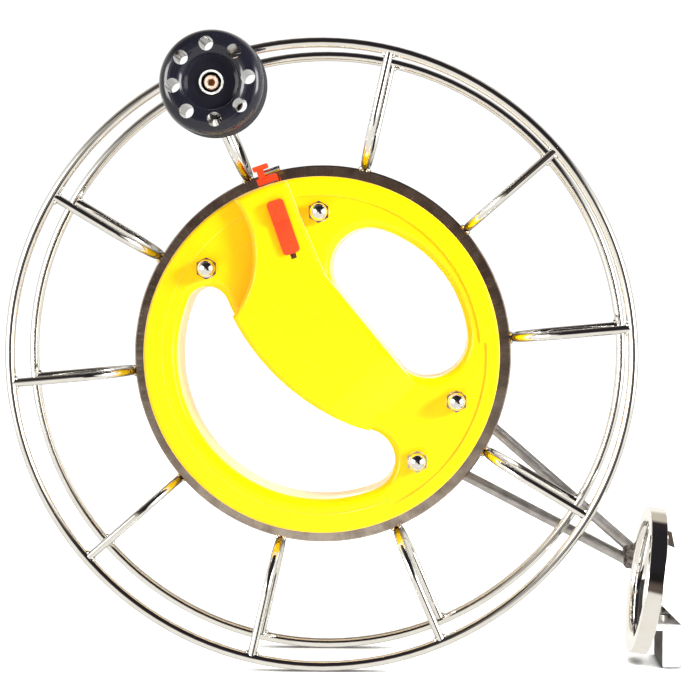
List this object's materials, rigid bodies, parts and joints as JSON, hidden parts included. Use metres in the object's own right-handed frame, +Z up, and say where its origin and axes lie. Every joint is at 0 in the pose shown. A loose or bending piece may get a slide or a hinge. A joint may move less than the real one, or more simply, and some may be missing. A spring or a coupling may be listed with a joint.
{
  "type": "kite line winder",
  "caption": "Hand-held kite line winder: wire wheel on a large ball bearing round a two-shell grip disc, with crank knob, lock slider, line guide and foot.",
  "frame": {"origin": "centre of the wheel, on its axis and midway between the rims", "axes": "+Y along the wheel axis towards the back, front with the knob towards -Y, +Z up, line guide towards +X"},
  "size_m": [0.2831, 0.0925, 0.2607],
  "materials": {
    "shell_yellow": "glossy moulded ABS",
    "chrome_wire": "polished",
    "race_steel": "ground bearing steel",
    "ball_steel": "polished",
    "cage_steel": "pressed steel",
    "zinc_fastener": "bright plated",
    "knob_navy": "glossy",
    "bush_steel": "turned",
    "brass_screw": "machined",
    "lock_red": "moulded",
    "lock_steel": "blank sheet steel",
    "spring_steel": "spring strip",
    "arm_steel": "drawn rod",
    "guide_chrome": "polished",
    "foot_steel": "polished"
  },
  "bodies": {
    "hub": {"hub_front_shell": "shell_yellow", "hub_rear_shell": "shell_yellow", "bearing_inner_race": "race_steel", "hub_bolts": "zinc_fastener", "acorn_nuts": "zinc_fastener", "nut_washers": "zinc_fastener", "bolt_washers": "zinc_fastener", "arm_spacers": "zinc_fastener", "guide_arm_upper": "arm_steel", "guide_arm_lower": "arm_steel", "arm_tip_block": "arm_steel", "guide_ring": "guide_chrome", "ring_lug": "guide_chrome", "foot_bracket": "foot_steel", "foot_block": "foot_steel", "foot_screws": "zinc_fastener", "lock_leaf_spring": "spring_steel"},
    "wheel": {"bearing_outer_race": "race_steel", "front_rim": "chrome_wire", "rear_rim": "chrome_wire", "spoke_01": "chrome_wire", "spoke_02": "chrome_wire", "spoke_03": "chrome_wire", "spoke_04": "chrome_wire", "spoke_05": "chrome_wire", "spoke_06": "chrome_wire", "spoke_07": "chrome_wire", "spoke_08": "chrome_wire", "spoke_09": "chrome_wire", "spoke_10": "chrome_wire", "crank_lug": "chrome_wire", "knob_spacer": "zinc_fastener", "knob_screw": "brass_screw"},
    "ball_cage": {"bearing_cage": "cage_steel", "bearing_balls": "ball_steel"},
    "knob": {"knob_body": "knob_navy", "knob_bush": "bush_steel"},
    "lock": {"lock_button": "lock_red", "lock_bar": "lock_steel", "lock_screw": "zinc_fastener", "lock_pawl": "lock_red", "lock_pin": "lock_steel"}
  },
  "joints": [
    {"name": "wheel_spin", "type": "hinge", "parent": "hub", "child": "wheel", "pos_m": [0, 0, 0], "axis": [0, 1, 0], "continuous": true},
    {"name": "cage_spin", "type": "hinge", "parent": "hub", "child": "ball_cage", "pos_m": [0, 0, 0], "axis": [0, 1, 0], "continuous": true},
    {"name": "knob_spin", "type": "hinge", "parent": "wheel", "child": "knob", "pos_m": [-0.04162, -0.04, 0.10956], "axis": [0, 1, 0], "continuous": true},
    {"name": "lock_slide", "type": "slide", "parent": "hub", "child": "lock", "axis": [-0.3256, 0, 0.9455], "range_m": [0, 0.008]}
  ],
  "couplings": [
    {"joint": "cage_spin", "follows": "wheel_spin", "ratio": 0.51657}
  ]
}
